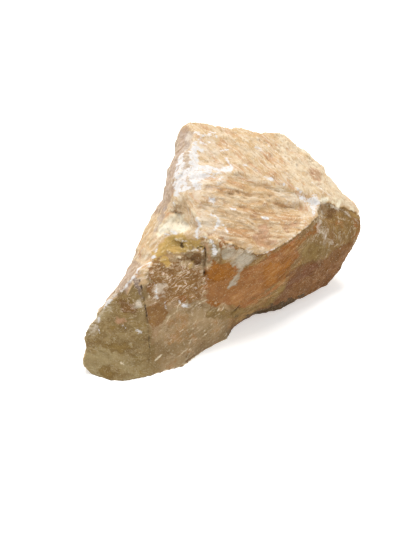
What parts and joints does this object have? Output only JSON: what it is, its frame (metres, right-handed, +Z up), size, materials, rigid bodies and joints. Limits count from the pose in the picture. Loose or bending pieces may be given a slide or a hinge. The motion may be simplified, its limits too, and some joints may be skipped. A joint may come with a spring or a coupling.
{
  "type": "honeycomb calcite specimen",
  "caption": "Rough broken block of honey-coloured banded calcite, long and low at its toe and high at its back, that rests on a flat face.",
  "frame": {"origin": "on the resting face, under the middle of the block's bounding box", "axes": "+X along the block from its low toe to its blunt end, +Y to its back, +Z up"},
  "size_m": [0.306, 0.159, 0.171],
  "materials": {
    "calcite": "matte"
  },
  "bodies": {
    "root": {"calcite_block": "calcite"}
  },
  "joints": []
}
